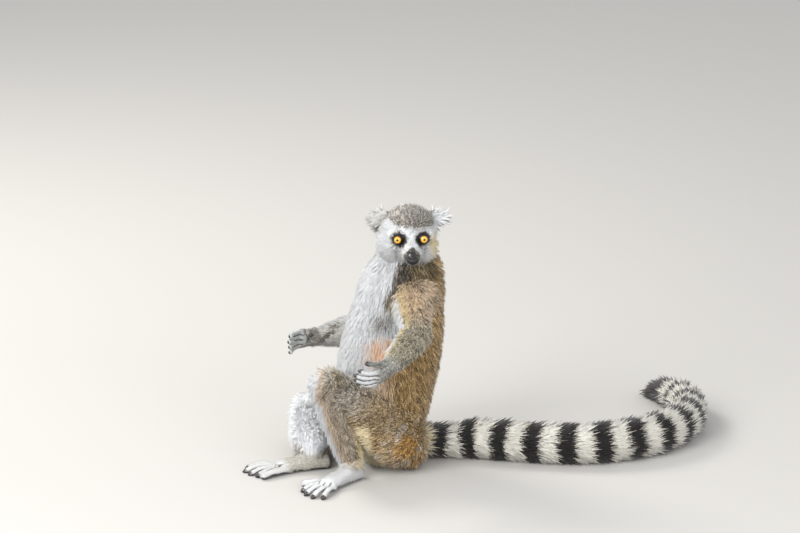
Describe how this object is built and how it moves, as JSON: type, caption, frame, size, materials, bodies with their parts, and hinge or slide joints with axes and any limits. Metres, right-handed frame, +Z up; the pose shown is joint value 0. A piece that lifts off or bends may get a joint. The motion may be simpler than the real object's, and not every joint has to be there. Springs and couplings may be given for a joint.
{
  "type": "ring-tailed lemur",
  "caption": "Ring-tailed lemur sitting upright, head turned to its left, a hand held out, legs drawn up and the long ringed tail curving over the floor behind it.",
  "frame": {"origin": "middle of the seat (rump) on the floor", "axes": "+Z up, the animal faces -Y, its left side is +X, its tail lies towards +Y; its head is turned about 69 degrees to its left"},
  "size_m": [0.2895, 0.6267, 0.3426],
  "materials": {
    "grey_fur": "short dense fur",
    "brown_fur": "soft woolly fur",
    "white_fur": "soft fluffy fur",
    "ringed_fur": "thick fur in black and white rings",
    "black_skin": "moist bare skin",
    "amber_eye": "wet and glossy"
  },
  "bodies": {
    "root": {"belly": "white_fur", "chest": "white_fur", "head": "white_fur", "left_ear": "white_fur", "left_eye": "amber_eye", "left_foot": "grey_fur", "left_forearm": "grey_fur", "left_hand": "grey_fur", "left_shank": "grey_fur", "left_thigh": "brown_fur", "left_upper_arm": "grey_fur", "neck": "grey_fur", "nose": "black_skin", "pelvis": "brown_fur", "right_ear": "white_fur", "right_eye": "amber_eye", "right_foot": "grey_fur", "right_forearm": "grey_fur", "right_hand": "grey_fur", "right_shank": "white_fur", "right_thigh": "brown_fur", "right_upper_arm": "grey_fur", "tail_1": "ringed_fur", "tail_2": "ringed_fur", "tail_3": "ringed_fur", "tail_4": "ringed_fur", "tail_5": "ringed_fur", "tail_6": "ringed_fur"}
  },
  "joints": []
}
